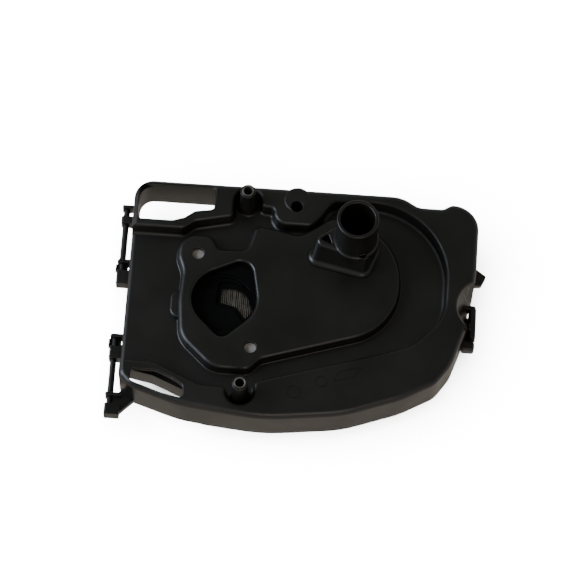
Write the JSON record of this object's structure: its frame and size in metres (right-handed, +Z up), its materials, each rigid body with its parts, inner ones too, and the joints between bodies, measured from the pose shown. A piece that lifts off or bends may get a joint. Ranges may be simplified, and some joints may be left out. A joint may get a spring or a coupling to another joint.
{
  "type": "air filter housing",
  "caption": "Moulded air filter housing for a small engine: stepped base with throat and breather spigot, panel filter, and a cover on hinge bars held by a sprung latch.",
  "frame": {"origin": "middle of the overall box in plan, at the underside of the cover", "axes": "+X from the hinge bars to the latch, +Y away from the curved front wall, +Z up through the throat towards the carburettor"},
  "size_m": [0.175, 0.1168, 0.067],
  "materials": {
    "black_nylon": "fine moulded texture, satin",
    "seal_rubber": "dull black",
    "zinc_steel": "dull zinc plate",
    "filter_paper": "pleated paper, matt",
    "filter_urethane": "cast polyurethane, matt",
    "grey_foam": "open-cell foam",
    "pale_foam": "closed-cell foam, matt"
  },
  "bodies": {
    "base": {"base_shell": "black_nylon", "breather_spigot": "black_nylon", "breather_seal": "seal_rubber", "intake_horn": "black_nylon", "horn_seal": "seal_rubber", "stud_seal_rear": "pale_foam", "stud_seal_front": "pale_foam", "screw_sleeve_rear": "zinc_steel", "screw_sleeve_front": "zinc_steel", "hinge_bar_rear": "black_nylon", "hinge_bar_front": "black_nylon", "filter_seal_frame": "filter_urethane", "filter_pleats": "filter_paper", "filter_screen": "zinc_steel", "foam_prefilter": "grey_foam", "prefilter_grid": "black_nylon", "latch_pin": "zinc_steel", "latch_spring": "zinc_steel"},
    "cover": {"cover_shell": "black_nylon", "cover_gasket": "seal_rubber"},
    "latch": {"latch_lever": "black_nylon"}
  },
  "joints": [
    {"name": "cover_hinge", "type": "hinge", "parent": "base", "child": "cover", "pos_m": [-0.0845, 0, 0.0185], "axis": [0, 1, 0], "range_deg": [0, 70]},
    {"name": "latch_pivot", "type": "hinge", "parent": "base", "child": "latch", "pos_m": [0.0816, -0.00006, 0.0196], "axis": [0, -1, 0], "range_deg": [0, 14], "stiffness_Nm_per_rad": 0.02, "springref_deg": -8.59}
  ]
}
